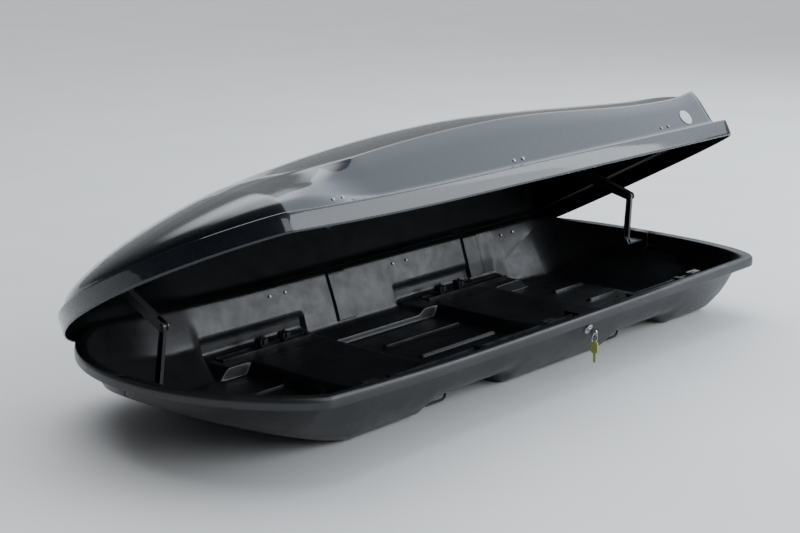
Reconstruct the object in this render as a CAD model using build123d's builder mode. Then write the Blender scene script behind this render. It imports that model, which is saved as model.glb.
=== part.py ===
from build123d import *
import math
import os

# Roof cargo box that opens on one long side, modelled with its lid held open by two folding stays.
# Frame: origin at the middle of the flat underside, +X to the rear, +Y to the hinge side, +Z up.
# Lid pieces are drawn with the lid shut and are then swung open about the hinge line.

# ---------------------------------------------------------------- driving dimensions (mm, degrees)
LENGTH = 1900              # over the base rim
WIDTH = 800                # over the base rim
BASE_DEPTH = 133           # underside to the lower edge of the rolled rim
RIM_HEIGHT = 28
RIM_OVERHANG = 22          # rim edge to the outside of the tub wall
NOSE_RISE = 28             # how far the rim climbs at the nose
WALL = 4
SKIN = 3.5                 # floor and rim thickness
LID_SKIN = 3
LID_GAP = 2.5              # lid skirt to base rim
SKIRT_DROP = 10            # lid skirt below the rim's lower edge
SKIRT_TOP = 35             # lid skirt above the rim's lower edge
PLATFORM = 30              # depth of the cross bar channels under the base
CROWN = 200                # lid crown above its skirt
OPEN_ANGLE = 27.3

HALF_LENGTH = LENGTH / 2
HALF_WIDTH = WIDTH / 2
NOSE_START = -720          # the plan outline starts to close in here
TAIL_START = 847
FLOOR_HALF = 272           # half width of the flat floor
CORNER_START, CORNER_RUN = 690, 200   # the slanted rear corner on the hinge side climbs to the rim over this run
TUB_END = HALF_LENGTH - RIM_OVERHANG
RIM_TOP = BASE_DEPTH + RIM_HEIGHT

HINGE_Y = 388
HINGE_Z = 121
HINGE_X = [-174, 275, 724]
HINGE_RIVET_PITCH = 53
LEAF_HALF = 33             # half length of a hinge leaf

STRIP_STEP = 0.6           # the hinge-side strip stands at least this far above the floor
CHANNELS = {"front": (-357, -100), "rear": (305, 545)}   # flat roof of each cross bar channel
CHANNEL_RAMP = {"front": (28, 45), "rear": (30, 55)}     # length of its front and rear slopes
SLOT_X = {"front": -248, "rear": 414}                    # middle of the slots for the U-bolts
RAIL_Y = {"far": 298, "near": -250}
RAIL_ENDS = {
    ("front", "far"): (-430, -138),
    ("front", "near"): (-354, -128),
    ("rear", "far"): (307, 636),
    ("rear", "near"): (307, 521),
}
CLAMP_SHIFT = -8           # clamps sit a little ahead of the middle of their slots
SLOT_LENGTH = 206
SLOT_WIDTH = 8
LEG_PITCH = 76             # between the two legs of a U-bolt
BOLT_D = 6

CATCH_X = [-547, 54, 655]
STRIKER_X = [x - 23.5 for x in CATCH_X]
LOCK_X = 185

# Hinge-side foot of the tub: x, height of the raised strip, half width at its foot, at its shoulder.
FAR_SIDE = [
    (-HALF_LENGTH, 0, 253, 333),
    (-513, 0, 253, 333),
    (-455, 30, 343, 347),
    (-135, 30, 343, 347),
    (-100, 17, 330, 345),
    (220, 17, 330, 345),
    (250, 30, 343, 347),
    (525, 30, 343, 347),
    (640, 30, 335, 345),
    (690, 2, 300, 333),
    (HALF_LENGTH, 2, 255, 333),
]


# ---------------------------------------------------------------- shape of the box
def interpolate(x, rows, column):
    """Value of one column of a table of rows sorted by their first entry."""
    for low, high in zip(rows, rows[1:]):
        if x <= high[0]:
            share = max(0.0, (x - low[0]) / (high[0] - low[0]))
            return low[column] + share * (high[column] - low[column])
    return rows[-1][column]


def plan_half_width(x, grow=0.0):
    """Half width of the plan outline at x, with the outline grown outwards by grow."""
    u = x * HALF_LENGTH / (HALF_LENGTH + grow)
    side = HALF_WIDTH
    if u < NOSE_START:
        share = (NOSE_START - u) / (NOSE_START + HALF_LENGTH)
        side *= max(0.0, 1 - min(share, 1.0) ** 1.3) ** 0.5
    elif u > TAIL_START:
        share = (u - TAIL_START) / (HALF_LENGTH - TAIL_START)
        side = (HALF_WIDTH - 10) * max(0.0, 1 - min(share, 1.0) ** 2.3) ** (1 / 2.3)
    else:
        side -= 10 * ((u - NOSE_START) / (TAIL_START - NOSE_START)) ** 2
    return max(side, 36.0) * (HALF_WIDTH + grow) / HALF_WIDTH


def rim_rise(x):
    """The mating line climbs towards the nose."""
    return NOSE_RISE * (max(0.0, -200 - x) / (HALF_LENGTH - 200)) ** 2


def floor_rise(x):
    """Underside above the flat: it sweeps up at the nose and, more steeply, at the tail."""
    nose = 145 * (max(0.0, -553 - x) / 397) ** 1.21
    tail = 102 * (max(0.0, x - 820) / 108) ** 1.06
    return nose + tail


def channel_height(x):
    """Height of the cross bar channels above the flat underside."""
    for name, (start, end) in CHANNELS.items():
        front, back = CHANNEL_RAMP[name]
        if start - front < x < end + back:
            return PLATFORM * min(1.0, (x - start + front) / front, (end + back - x) / back)
    return 0.0


def floor_half_width(x):
    """Half width of the floor: it rounds off at the nose and at the tail."""
    nose = min(1.0, max(0.0, -587 - x) / 381)
    tail = min(0.975, max(0.0, x - 749) / 175)
    round_off = (1 - nose ** 1.76) ** 0.5 * (1 - tail ** 4) ** 0.5
    return min(FLOOR_HALF * round_off, 0.8 * plan_half_width(x, -RIM_OVERHANG))


def tub_profile(x, inset=0.0):
    """Corners (y, z) of the tub across the box at x, from the opening side to the hinge side."""
    outer_x = x * TUB_END / (TUB_END - inset)
    floor = floor_rise(outer_x)
    near_floor = floor + channel_height(outer_x)
    half = floor_half_width(outer_x) - inset
    scale = half / FLOOR_HALF
    top_half = plan_half_width(outer_x, -RIM_OVERHANG) - inset
    top = RIM_TOP - 2 + rim_rise(outer_x)
    bend = floor + 0.385 * (top - floor)
    far_floor = floor + max(channel_height(outer_x) + STRIP_STEP, interpolate(outer_x, FAR_SIDE, 1))
    far_foot = min(interpolate(outer_x, FAR_SIDE, 2) * scale, 0.90 * top_half)
    far_shoulder = min(interpolate(outer_x, FAR_SIDE, 3) * scale, 0.93 * top_half)
    near_shoulder = half + 0.575 * (top_half - half)
    far_shoulder = max(far_shoulder, far_foot + 2)
    far_bend = bend + 4
    climb = min(1.0, max(0.0, outer_x - CORNER_START) / CORNER_RUN)
    far_shoulder += climb * 0.93 * (top_half - far_shoulder)
    far_bend += climb * 0.93 * (top - far_bend)
    skin = SKIN if inset else 0.0
    corners = [
        (-top_half, top),
        (-near_shoulder, bend),
        (-half, near_floor + skin),
        (0.890 * half, near_floor + skin),
        (0.905 * half, far_floor + skin),
        (far_foot, far_floor + skin),
        (far_shoulder, far_bend),
        (top_half, top),
    ]
    if inset:
        corners = [(-top_half, top + 40)] + corners + [(top_half, top + 40)]
    return corners


def slab_profile(x, grow, bottom, top, chamfer=0.0):
    """Corners of a flat slab that follows the plan outline and the rim's climb."""
    half = plan_half_width(x, grow)
    low = bottom + rim_rise(x)
    high = top + rim_rise(x)
    if not chamfer:
        return [(-half, low), (half, low), (half, high), (-half, high)]
    return [
        (-half, low),
        (half, low),
        (half, high - chamfer),
        (half - chamfer, high),
        (-half + chamfer, high),
        (-half, high - chamfer),
    ]


def crown_height(x):
    """Top of the lid on the centre line, above the rim's lower edge."""
    if x < 100:
        share = min(1.0, max(0.0, (x + 945) / 1045))
        return 63 + CROWN * (1 - (1 - share) ** 2) ** 0.62 * 0.975
    return 258 - 52 * ((x - 100) / 770) ** 1.6


def ridge_height(x):
    """Top of the side ridges, which turn up into short fins at the tail."""
    if x < 30:
        return 171 - 97.5e-6 * (x - 30) ** 2
    fall = 36 * math.sin(math.pi / 2 * min(1.0, (x - 30) / 700)) ** 2
    return 171 - fall + 14 * (max(0.0, x - 740) / 140) ** 2


def smooth_step(value, start, end):
    share = min(1.0, max(0.0, (value - start) / (end - start)))
    return share * share * (3 - 2 * share)


DOME_HOLLOW = 0.9965       # length of the dome's hollow against its outside
# Tail section of the dome, from skirt to centre: share of the half width, share of the ridge height.
FLANK = [(1.0, 0.0), (0.945, 0.05), (0.930, 0.30), (0.905, 0.72), (0.868, 1.0)]
VALLEY = 0.80              # share of the half width where the groove inside the ridge lies
VALLEY_DEPTH = 8


def dome_half_profile(x, inset=0.0):
    """Corners (y, z) of the lid's dome from its foot to the centre line, above the rim's lower edge."""
    half = plan_half_width(x, -7)
    foot = SKIRT_TOP - 2 + rim_rise(x)
    crown = max(crown_height(x), foot + 2)
    ridge = max(min(ridge_height(x), crown), foot + 1)
    tail_share = smooth_step(x, -660, -420)
    valley = ridge - VALLEY_DEPTH
    rear = [(share * half, foot + rise * (ridge - foot)) for share, rise in FLANK]
    for share in (VALLEY, 0.60, 0.35, 0.0):
        rear.append((share * half, crown - (crown - valley) * (share / VALLEY) ** 2))
    corners = []
    for index, (rear_y, rear_z) in enumerate(rear):
        angle = math.radians(90 * index / (len(rear) - 1))
        front_y = half * math.cos(angle)
        front_z = foot + (crown - foot) * math.sin(angle)
        y = front_y + tail_share * (rear_y - front_y)
        z = front_z + tail_share * (rear_z - front_z)
        corners.append((max(0.0, y - inset * y / half), BASE_DEPTH + z - inset))
    return corners


def dome_profile(x, inset=0.0):
    right = dome_half_profile(x, inset)
    left = [(-y, z) for y, z in reversed(right[:-1])]
    bottom = BASE_DEPTH + rim_rise(x) + 8
    foot_half = right[0][0]
    return [(-foot_half, bottom), (foot_half, bottom)] + right + left


def lid_flank_half(x, z):
    """Half width of the lid's outer flank at height z above the underside."""
    corners = dome_half_profile(x)
    for (y0, z0), (y1, z1) in zip(corners, corners[1:]):
        if z0 <= z <= z1:
            return y0 + (y1 - y0) * (z - z0) / (z1 - z0)
    return corners[0][0]


def wall_half(x, z, far=False):
    """Distance of the tub wall's outer face from the middle of the box."""
    corners = tub_profile(x)
    top, low = (corners[-1], corners[-2]) if far else (corners[0], corners[1])
    share = (z - low[1]) / (top[1] - low[1])
    return abs(low[0]) + share * (abs(top[0]) - abs(low[0]))


def wall_slope(x, far=False):
    """Lean of the upper wall from the vertical, in radians."""
    return math.atan2(wall_half(x, 150, far) - wall_half(x, 100, far), 50)


RIM_STATIONS = [-950, -947, -940, -930, -910, -885, -850, -800, -750, -690, -600, -500, -400, -300, -200,
                100, 500, 847, 875, 900, 920, 935, 944, 948, 950]
FOOT_STATIONS = (-785, -735)   # the floor is straight between these, under the front stay
TUB_STATIONS = [-928, -924, -915, -900, -880, -850, -820, *FOOT_STATIONS, -690, -640, -587, -553, -513, -455,
                -385, -357, -135, -100, -55, 220, 250, 275, 305, 525, 545, 600, 640, 690, 749, 790, 820, 850,
                875, 893, 906, 915, 921, 928]
DOME_STATIONS = [-943, -939, -932, -920, -902, -878, -845, -810, -770, -720, -660, -600, -540, -480, -420,
                 -330, -220, -100, 30, 160, 300, 440, 580, 700, 740, 780, 820, 852, 880]


# ---------------------------------------------------------------- helpers
def loft_along_x(stations, profile):
    """Solid through one closed profile per station."""
    with BuildPart() as body:
        for x in stations:
            with BuildSketch(Plane.YZ.offset(x)):
                with BuildLine():
                    Polyline(*profile(x), close=True)
                make_face()
        loft(ruled=True)
    return body.part


def scaled(stations, old_end, new_end):
    return [x * new_end / old_end for x in stations]


def cross_plane(x):
    """Plane across the box at x, with local axes Y and Z."""
    return Plane.YZ.offset(x)


def block(x0, x1, y0, y1, z0, z1, mode=Mode.ADD):
    """Box between two corners."""
    with Locations(((x0 + x1) / 2, (y0 + y1) / 2, (z0 + z1) / 2)):
        Box(x1 - x0, y1 - y0, z1 - z0, mode=mode)


def cross_rod(x0, x1, y, z, radius, mode=Mode.ADD):
    """Round bar along X."""
    with BuildSketch(cross_plane(x0)) as section:
        with Locations((y, z)):
            Circle(radius)
    extrude(section.sketch, amount=x1 - x0, mode=mode)


def rivet(point, outward, head_radius=4.5, grip=8.0):
    """Domed rivet: its head stands on point and its shank runs back against outward."""
    seat = Plane(origin=point, x_dir=(1, 0, 0), z_dir=outward)
    with BuildSketch(seat) as head:
        Circle(head_radius)
    extrude(head.sketch, amount=2.2, taper=30)
    with BuildSketch(seat) as shank:
        Circle(head_radius / 2)
    extrude(shank.sketch, amount=-grip)


def keep(part, name, on_lid=False):
    """Label a finished piece, swing it open if it belongs to the lid, and write it."""
    if on_lid:
        part = part.rotate(Axis((0, HINGE_Y, HINGE_Z), (1, 0, 0)), -OPEN_ANGLE)
    part.label = name
    export_step(part, f"parts/{name}.step")


os.makedirs("parts", exist_ok=True)

# ---------------------------------------------------------------- base shell
tub = loft_along_x(TUB_STATIONS, tub_profile)
cavity_stations = scaled(TUB_STATIONS, TUB_END, TUB_END - WALL)
cavity = loft_along_x(cavity_stations, lambda x: tub_profile(x, WALL))
rim_slab = loft_along_x(RIM_STATIONS, lambda x: slab_profile(x, 0, BASE_DEPTH, RIM_TOP, 7))
rim_hollow = loft_along_x(
    scaled(RIM_STATIONS, HALF_LENGTH, HALF_LENGTH - SKIN),
    lambda x: slab_profile(x, -SKIN, BASE_DEPTH - 6, RIM_TOP - SKIN, 5),
)
LOCK_Z = 104
lock_lean = wall_slope(LOCK_X)
lock_plane = Plane(
    origin=(LOCK_X, -wall_half(LOCK_X, LOCK_Z), LOCK_Z),
    x_dir=(1, 0, 0),
    z_dir=(0, -math.cos(lock_lean), -math.sin(lock_lean)),
)

with BuildPart() as base_shell:
    add(rim_slab)
    add(rim_hollow, mode=Mode.SUBTRACT)
    add(tub)
    add(cavity, mode=Mode.SUBTRACT)
    for middle in SLOT_X.values():
        for rail_y in RAIL_Y.values():
            with BuildSketch(Plane.XY.offset(PLATFORM - 5)):
                with Locations((middle, rail_y)):
                    SlotOverall(SLOT_LENGTH, SLOT_WIDTH)
            extrude(amount=SKIN + 10, mode=Mode.SUBTRACT)
    with BuildSketch(lock_plane.offset(-12)):
        Circle(9.3)
    extrude(amount=24, mode=Mode.SUBTRACT)
keep(base_shell.part, "base_shell")

# ---------------------------------------------------------------- lid shell
skirt = loft_along_x(
    scaled(RIM_STATIONS, HALF_LENGTH, HALF_LENGTH + LID_GAP + LID_SKIN),
    lambda x: slab_profile(x, LID_GAP + LID_SKIN, BASE_DEPTH - SKIRT_DROP, BASE_DEPTH + SKIRT_TOP, 3),
)
skirt_hollow = loft_along_x(
    scaled(RIM_STATIONS, HALF_LENGTH, HALF_LENGTH + LID_GAP),
    lambda x: slab_profile(x, LID_GAP, BASE_DEPTH - 30, BASE_DEPTH + SKIRT_TOP - LID_SKIN),
)
dome = loft_along_x(DOME_STATIONS, dome_profile)
dome_hollow = loft_along_x(
    [x * DOME_HOLLOW for x in DOME_STATIONS], lambda x: dome_profile(x / DOME_HOLLOW, LID_SKIN)
)

with BuildPart() as lid_shell:
    add(skirt)
    add(dome)
    add(skirt_hollow, mode=Mode.SUBTRACT)
    add(dome_hollow, mode=Mode.SUBTRACT)
keep(lid_shell.part, "lid_shell", on_lid=True)

# ---------------------------------------------------------------- hinges
KNUCKLE_R = 5.5
PIN_R = 2.5

for number, hinge_x in enumerate(HINGE_X, start=1):
    leaf_ends = (hinge_x - LEAF_HALF, hinge_x, hinge_x + LEAF_HALF)
    low_wall = max(wall_half(x, 108, far=True) for x in leaf_ends) + 0.7
    high_wall = max(wall_half(x, 150, far=True) for x in leaf_ends) + 0.7
    with BuildPart() as base_leaf:
        with BuildSketch(cross_plane(hinge_x - LEAF_HALF)):
            with BuildLine():
                Polyline(
                    (low_wall, 108), (high_wall, 150), (high_wall + 3, 150), (low_wall + 3, 108), close=True
                )
            make_face()
        extrude(amount=2 * LEAF_HALF)
        for side in (-1, 1):
            low, high = sorted((side * 10, side * LEAF_HALF))
            arm_start = low_wall + (high_wall - low_wall) * (HINGE_Z - 108) / 42 + 1.5
            block(hinge_x + low, hinge_x + high, arm_start, HINGE_Y - 2, HINGE_Z - 1.5, HINGE_Z + 1.5)
            cross_rod(hinge_x + low, hinge_x + high, HINGE_Y, HINGE_Z, KNUCKLE_R)
        cross_rod(hinge_x - LEAF_HALF, hinge_x + LEAF_HALF, HINGE_Y, HINGE_Z, PIN_R, Mode.SUBTRACT)
    keep(base_leaf.part, f"hinge_base_leaf_{number}")

    skirt_inside = plan_half_width(hinge_x + LEAF_HALF, LID_GAP) - 0.3
    with BuildPart() as lid_leaf:
        block(hinge_x - LEAF_HALF, hinge_x + LEAF_HALF, skirt_inside - 3, skirt_inside, 127, 131)
        block(hinge_x - 9.5, hinge_x + 9.5, HINGE_Y + 2, skirt_inside, HINGE_Z + 1, 131)
        cross_rod(hinge_x - 9.5, hinge_x + 9.5, HINGE_Y, HINGE_Z, KNUCKLE_R)
        cross_rod(hinge_x - 9.5, hinge_x + 9.5, HINGE_Y, HINGE_Z, PIN_R + 0.05, Mode.SUBTRACT)
    keep(lid_leaf.part, f"hinge_lid_leaf_{number}", on_lid=True)

with BuildPart() as hinge_pins:
    for hinge_x in HINGE_X:
        cross_rod(hinge_x - LEAF_HALF - 1, hinge_x + LEAF_HALF + 1, HINGE_Y, HINGE_Z, PIN_R)
keep(hinge_pins.part, "hinge_pins")

RIVET_Z = 137
with BuildPart() as base_rivets:
    for hinge_x in HINGE_X:
        lean = wall_slope(hinge_x, far=True)
        for side in (-0.5, 0.5):
            rivet_x = hinge_x + side * HINGE_RIVET_PITCH
            inside = wall_half(rivet_x, RIVET_Z, far=True) - WALL - 0.3
            rivet((rivet_x, inside, RIVET_Z), (0, -math.cos(lean), math.sin(lean)), grip=9)
keep(base_rivets.part, "hinge_base_rivets")

with BuildPart() as hinge_lid_rivets:
    for hinge_x in HINGE_X:
        for side in (-1, 1):
            rivet_x = hinge_x + side * 20
            outside = plan_half_width(rivet_x, LID_GAP + LID_SKIN)
            rivet((rivet_x, outside, 129), (0, 1, 0), head_radius=3, grip=7)
keep(hinge_lid_rivets.part, "hinge_lid_rivets", on_lid=True)


# ---------------------------------------------------------------- folding stays
# Pivots are (y, z) with the lid open: on the base, at the elbow, and on the lid.
STAYS = {
    "front": {"x": -760, "foot": (111.5, 86.0), "elbow": (80.5, 237.7), "top": (277.5, 323.7), "play": 2, "eye": 11.5},
    "rear": {"x": 858, "foot": (24.0, 149.0), "elbow": (14.4, 273.2), "top": (181.0, 319.5), "play": 7, "eye": 18},
}
PIVOT_R = 3
ARM = 9                    # width of the lower arm, a channel pressed from sheet
ARM_SHEET = 2.5


def swing_shut(point):
    """Where a point of the open lid lies with the lid shut."""
    angle = math.radians(OPEN_ANGLE)
    y = point[0] - HINGE_Y
    z = point[1] - HINGE_Z
    return (
        HINGE_Y + y * math.cos(angle) - z * math.sin(angle),
        HINGE_Z + y * math.sin(angle) + z * math.cos(angle),
    )


def link(x0, thickness, ends, radii, holes, play=0):
    """Flat link between two pivots; with play, its far eye is a slot that lets the pin run that far each way."""
    with BuildSketch(cross_plane(x0)) as outline:
        for point, radius in zip(ends, radii):
            with Locations(point):
                Circle(radius)
        make_hull()
        for point, radius in zip(ends, holes):
            with Locations(point):
                Circle(radius, mode=Mode.SUBTRACT)
        if play:
            lean = math.degrees(math.atan2(ends[1][1] - ends[0][1], ends[1][0] - ends[0][0]))
            with Locations(ends[1]):
                SlotCenterToCenter(2 * play, 2 * holes[1], rotation=lean, mode=Mode.SUBTRACT)
    extrude(outline.sketch, amount=thickness)


for place, stay in STAYS.items():
    x = stay["x"]
    foot, elbow, top = stay["foot"], stay["elbow"], stay["top"]

    with BuildPart() as lower_arm:
        link(x - ARM / 2, ARM, (foot, elbow), (9, 8), (PIVOT_R + 0.05, PIVOT_R))
        with BuildSketch(cross_plane(x - ARM / 2 - 1)) as channel:
            for end, radius in ((foot, 9), (elbow, 8)):
                with Locations(end):
                    Circle(radius - ARM_SHEET)
            make_hull()
            for end in (foot, elbow):
                with Locations(end):
                    Circle(PIVOT_R + 1.5, mode=Mode.SUBTRACT)
        extrude(channel.sketch, amount=ARM - ARM_SHEET + 1, mode=Mode.SUBTRACT)
    keep(lower_arm.part, f"stay_lower_arm_{place}")

    with BuildPart() as elbow_pin:
        cross_rod(x - 10, x + 10, elbow[0], elbow[1], PIVOT_R)
        cross_rod(x - 12, x - 10, elbow[0], elbow[1], PIVOT_R + 2)
        cross_rod(x + 10, x + 12, elbow[0], elbow[1], PIVOT_R + 2)
    keep(elbow_pin.part, f"stay_elbow_pin_{place}")

    with BuildPart() as upper_arm:
        for side_x in (x - 8, x + 5):
            link(side_x, 3, (elbow, top), (11, stay["eye"]), (PIVOT_R + 0.05, 6.7), stay["play"])
        reach = (top[0] - elbow[0], top[1] - elbow[1])
        length = math.hypot(*reach)
        along = (0, reach[0] / length, reach[1] / length)
        web = Plane(origin=(x, elbow[0], elbow[1]), x_dir=along, z_dir=(1, 0, 0))
        with BuildSketch(web.offset(-8)):
            with BuildLine():
                Polyline((26, 10.5), (length - 24, 12.5), (length - 24, 9.5), (26, 7.5), close=True)
            make_face()
        extrude(amount=16)
    keep(upper_arm.part, f"stay_upper_arm_{place}")

front_stay = STAYS["front"]
rear_stay = STAYS["rear"]


def front_foot_floor(x):
    """Inside of the tub floor under the front stay, straight between two stations."""
    low, high = FOOT_STATIONS
    share = (x * TUB_END / (TUB_END - WALL) - low) / (high - low)
    return SKIN + floor_rise(low) + share * (floor_rise(high) - floor_rise(low))


def clevis(x, pivot, base_y, base_z, hole=PIVOT_R):
    """Two cheeks each side of an arm, from a flat foot to a pivot."""
    for start in (x - 8.5, x + 5):
        with BuildSketch(cross_plane(start)) as cheek:
            with BuildLine():
                Polyline(
                    (base_y - 14, base_z),
                    (base_y + 14, base_z),
                    (pivot[0] + 8, pivot[1]),
                    (pivot[0] - 8, pivot[1]),
                    close=True,
                )
            make_face()
            with Locations(pivot):
                Circle(8)
                Circle(hole, mode=Mode.SUBTRACT)
        extrude(cheek.sketch, amount=3.5)


with BuildPart() as front_bracket:
    x = front_stay["x"]
    y, z = front_stay["foot"]
    plate_top = 76
    with BuildSketch(Plane.XZ.offset(-(y + 18))):
        with BuildLine():
            Polyline(
                (x - 9, front_foot_floor(x - 9) + 0.5),
                (x + 9, front_foot_floor(x + 9) + 0.5),
                (x + 9, plate_top),
                (x - 9, plate_top),
                close=True,
            )
        make_face()
    extrude(amount=36)
    clevis(x, (y, z), y, plate_top - 2)
keep(front_bracket.part, "stay_bracket_front")

with BuildPart() as rear_bracket:
    x = rear_stay["x"]
    y, z = rear_stay["foot"]
    block(918.7, 921.7, y - 30, y + 22, 118, 158)
    block(x - 8.5, 919, y - 14, y + 14, 133.5, 137.5)
    clevis(x, (y, z), y, 135)
keep(rear_bracket.part, "stay_bracket_rear")

with BuildPart() as stay_base_pins:
    for stay in STAYS.values():
        x = stay["x"]
        y, z = stay["foot"]
        cross_rod(x - 10, x + 10, y, z, PIVOT_R)
        cross_rod(x - 11.5, x - 9, y, z, PIVOT_R + 2)
        cross_rod(x + 9, x + 11.5, y, z, PIVOT_R + 2)
keep(stay_base_pins.part, "stay_base_pins")


def lid_inside(x, y):
    """Height of the lid's inner face, lid shut."""
    corners = dome_half_profile(x / DOME_HOLLOW, LID_SKIN)
    for (y0, z0), (y1, z1) in zip(corners, corners[1:]):
        if y1 <= y <= y0:
            return z0 + (z1 - z0) * (y0 - y) / (y0 - y1)
    return corners[-1][1]


def under_roof_plate(x, y, half_width):
    """Cross section at x of a plate lying against the inside of the lid."""
    top = [(side, lid_inside(x, side) - 1.2) for side in (y - half_width, y, y + half_width)]
    return top + [(side, z - 3) for side, z in reversed(top)]


LUG = 3                    # thickness of the lid brackets' middle lug
with BuildPart() as front_lid_bracket:
    x = front_stay["x"]
    y, z = swing_shut(front_stay["top"])
    roof = lid_inside(x, y) - 3
    with BuildSketch(cross_plane(x - LUG / 2)):
        with Locations((y, z)):
            Circle(9)
        with BuildLine():
            Polyline((y - 14, roof), (y + 14, roof - 3), (y + 9, z), (y - 9, z), close=True)
        make_face()
        with Locations((y, z)):
            Circle(PIVOT_R, mode=Mode.SUBTRACT)
    extrude(amount=LUG)
    add(loft_along_x((x - 15, x + 15), lambda at: under_roof_plate(at, y, 20)))
keep(front_lid_bracket.part, "stay_lid_bracket_front", on_lid=True)

with BuildPart() as rear_lid_bracket:
    x = rear_stay["x"]
    y, z = swing_shut(rear_stay["top"])
    back = DOME_STATIONS[-1] * DOME_HOLLOW - 0.3
    link(x - LUG / 2, LUG, ((y, z), (y + 20, z + 34)), (9, 9), (PIVOT_R, 2.5))
    block(x - LUG / 2, back, y + 13, y + 27, z + 37, z + 40)
    block(back - 2.5, back, y, y + 40, z + 20, z + 58)
keep(rear_lid_bracket.part, "stay_lid_bracket_rear", on_lid=True)

with BuildPart() as stay_lid_pins:
    for stay in STAYS.values():
        x = stay["x"]
        y, z = swing_shut(stay["top"])
        cross_rod(x - 10, x + 10, y, z, PIVOT_R)
keep(stay_lid_pins.part, "stay_lid_pins", on_lid=True)


# ---------------------------------------------------------------- rails and roof bar clamps
RAIL = 2.5
RAIL_WIDTH = 30
RAIL_Z = PLATFORM + SKIN + STRIP_STEP + 0.3
PLATE_Z = RAIL_Z + RAIL + 0.3
KNOB_Z = PLATE_Z + 3 + 0.3

for place, middle in SLOT_X.items():
    for side, rail_y in RAIL_Y.items():
        start, end = RAIL_ENDS[place, side]
        with BuildPart() as rail:
            block(start, end, rail_y - RAIL_WIDTH / 2, rail_y + RAIL_WIDTH / 2, RAIL_Z, RAIL_Z + RAIL)
            for edge in (-1, 1):
                edge_y = rail_y + edge * (RAIL_WIDTH / 2 - RAIL / 2)
                block(start, end, edge_y - RAIL / 2, edge_y + RAIL / 2, RAIL_Z, RAIL_Z + 6)
            with BuildSketch(Plane.XY.offset(RAIL_Z - 1)):
                with Locations((middle, rail_y)):
                    SlotOverall(SLOT_LENGTH, SLOT_WIDTH)
            extrude(amount=RAIL + 2, mode=Mode.SUBTRACT)
        keep(rail.part, f"rail_{place}_{side}")

        clamp_x = middle + CLAMP_SHIFT
        half_pitch = LEG_PITCH / 2
        with BuildPart() as u_bolt:
            with BuildLine(Plane(origin=(clamp_x, rail_y, 0), x_dir=(1, 0, 0), z_dir=(0, -1, 0))) as bend:
                FilletPolyline(
                    (-half_pitch, 67), (-half_pitch, 7), (half_pitch, 7), (half_pitch, 67), radius=12
                )
            with BuildSketch(Plane(origin=bend.line @ 0, z_dir=bend.line % 0)):
                Circle(BOLT_D / 2)
            sweep()
        keep(u_bolt.part, f"u_bolt_{place}_{side}")

        with BuildPart() as clamp_plate:
            with BuildSketch(Plane.XY.offset(PLATE_Z)):
                with Locations((clamp_x, rail_y)):
                    RectangleRounded(LEG_PITCH + 28, 24, 6)
                with Locations((clamp_x - half_pitch, rail_y), (clamp_x + half_pitch, rail_y)):
                    Circle(BOLT_D / 2, mode=Mode.SUBTRACT)
            extrude(amount=3)
        keep(clamp_plate.part, f"clamp_plate_{place}_{side}")

        for letter, step in (("a", -half_pitch), ("b", half_pitch)):
            with BuildPart() as knob:
                with BuildSketch(Plane.XY.offset(KNOB_Z)):
                    with Locations((clamp_x + step, rail_y)):
                        Circle(9)
                extrude(amount=8)
                with BuildSketch(Plane.XY.offset(KNOB_Z + 7)):
                    with Locations((clamp_x + step, rail_y)):
                        Circle(17)
                        with PolarLocations(20.5, 6):
                            Circle(6, mode=Mode.SUBTRACT)
                extrude(amount=13)
                fillet(knob.faces().sort_by(Axis.Z)[-1].edges(), radius=2)
                with BuildSketch(Plane.XY.offset(KNOB_Z - 1)):
                    with Locations((clamp_x + step, rail_y)):
                        Circle(BOLT_D / 2 + 0.05)
                extrude(amount=24, mode=Mode.SUBTRACT)
            keep(knob.part, f"knob_{place}_{side}_{letter}")

# ---------------------------------------------------------------- lock
BARREL_R = 9
PLUG_R = 6
CAM_REACH = 12             # pin circle of the cam
BAR_Y0, BAR_Y1 = -333, -330
BAR_Z0, BAR_Z1 = 128, 144

with BuildPart() as lock_housing:
    with BuildSketch(lock_plane.offset(0.3)):
        Circle(13)
    extrude(amount=5)
    with BuildSketch(lock_plane.offset(-30)):
        Circle(BARREL_R)
    extrude(amount=31)
    with BuildSketch(lock_plane.offset(-31)):
        Circle(PLUG_R + 0.05)
    extrude(amount=40, mode=Mode.SUBTRACT)
    front_face = lock_housing.faces().sort_by(Axis(lock_plane.origin, lock_plane.z_dir))[-1]
    fillet(front_face.edges(), radius=0.8)
keep(lock_housing.part, "lock_housing")

nut_seat = -WALL * math.cos(lock_lean) - 0.1
with BuildPart() as lock_nut:
    with BuildSketch(lock_plane.offset(nut_seat - 5)):
        RegularPolygon(14, 6)
        Circle(BARREL_R, mode=Mode.SUBTRACT)
    extrude(amount=5)
keep(lock_nut.part, "lock_nut")

with BuildPart() as lock_plug:
    with BuildSketch(lock_plane.offset(-33)):
        Circle(PLUG_R)
    extrude(amount=39)
    with BuildSketch(lock_plane.offset(-16)):
        Rectangle(2.4, 9)
    extrude(amount=24, mode=Mode.SUBTRACT)
keep(lock_plug.part, "lock_plug")

CAM_Z = -36.2              # inner face of the cam, along the lock's axis
cam_tip = CAM_REACH * math.sqrt(0.5)
with BuildPart() as lock_cam:
    with BuildSketch(lock_plane.offset(CAM_Z)):
        Circle(7)
        with Locations((cam_tip, cam_tip)):
            Circle(3.5)
        make_hull()
    extrude(amount=3)
    with BuildSketch(lock_plane.offset(CAM_Z - 6)):
        with Locations((cam_tip, cam_tip)):
            Circle(2)
    extrude(amount=7)
keep(lock_cam.part, "lock_cam")

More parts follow.
